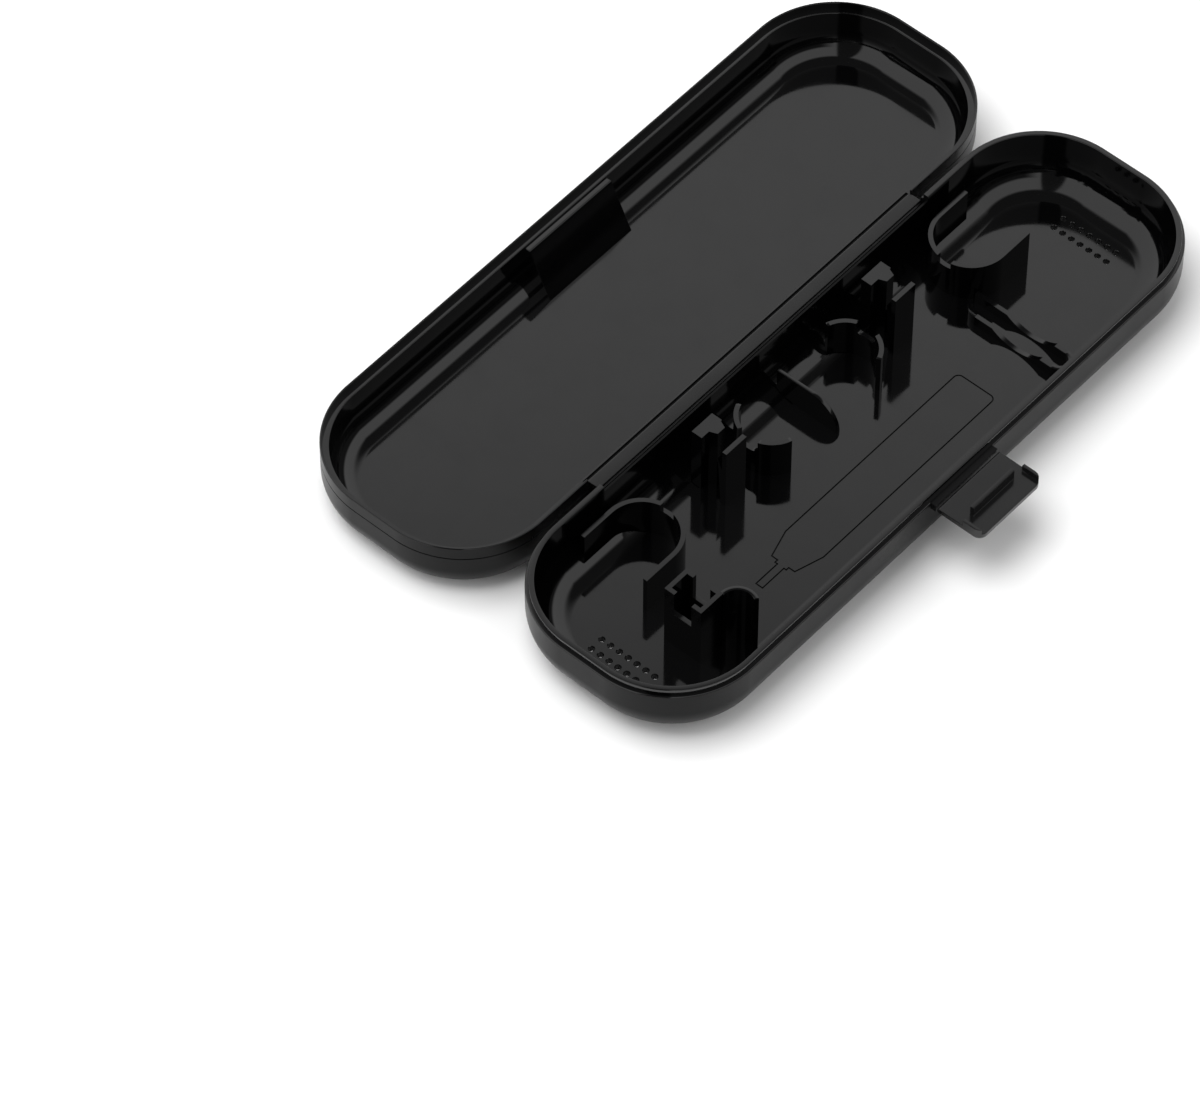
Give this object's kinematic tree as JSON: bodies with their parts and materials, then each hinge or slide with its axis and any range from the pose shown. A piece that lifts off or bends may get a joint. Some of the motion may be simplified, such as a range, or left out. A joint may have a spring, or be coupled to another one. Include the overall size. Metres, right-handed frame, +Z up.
{
  "type": "electric toothbrush travel case",
  "caption": "Slim hinged travel case, shown open flat, with inner holders for a brush handle and brush heads, a double-fold hinge strip and a snap latch flap.",
  "frame": {"origin": "centre of the flat underside of the base tray", "axes": "+X along the case's length, +Y from the latch towards the fold strip and the open lid, +Z up"},
  "size_m": [0.22, 0.1557, 0.0233],
  "materials": {
    "shell": "satin black outside, polished inside",
    "ribs": "polished black",
    "inlay": "satin, woven twill look in two greys",
    "strip": "satin black"
  },
  "bodies": {
    "base": {"base_shell": "shell", "near_head_pocket": "ribs", "far_head_pocket": "ribs", "near_stem_cradle": "ribs", "far_stem_cradle": "ribs", "near_ring_clip": "ribs", "far_ring_clip": "ribs", "middle_rib": "ribs", "neck_bracket": "ribs", "neck_brace": "ribs", "handle_hairpin_rib": "ribs"},
    "strip": {"hinge_strip": "strip"},
    "lid": {"lid_shell": "shell", "lid_inlay_panel": "inlay"},
    "latch": {"latch_flap": "shell"}
  },
  "joints": [
    {"name": "strip_fold", "type": "hinge", "parent": "base", "child": "strip", "pos_m": [0, 0.03345, 0.0169], "axis": [1, 0, 0], "range_deg": [0, 90]},
    {"name": "lid_fold", "type": "hinge", "parent": "strip", "child": "lid", "pos_m": [0, 0.03765, 0.0169], "axis": [1, 0, 0], "range_deg": [0, 90]},
    {"name": "latch_fold", "type": "hinge", "parent": "base", "child": "latch", "pos_m": [0, -0.0367, 0.0176], "axis": [-1, 0, 0], "range_deg": [0, 90]}
  ],
  "couplings": [
    {"joint": "strip_fold", "follows": "lid_fold", "ratio": 1}
  ]
}
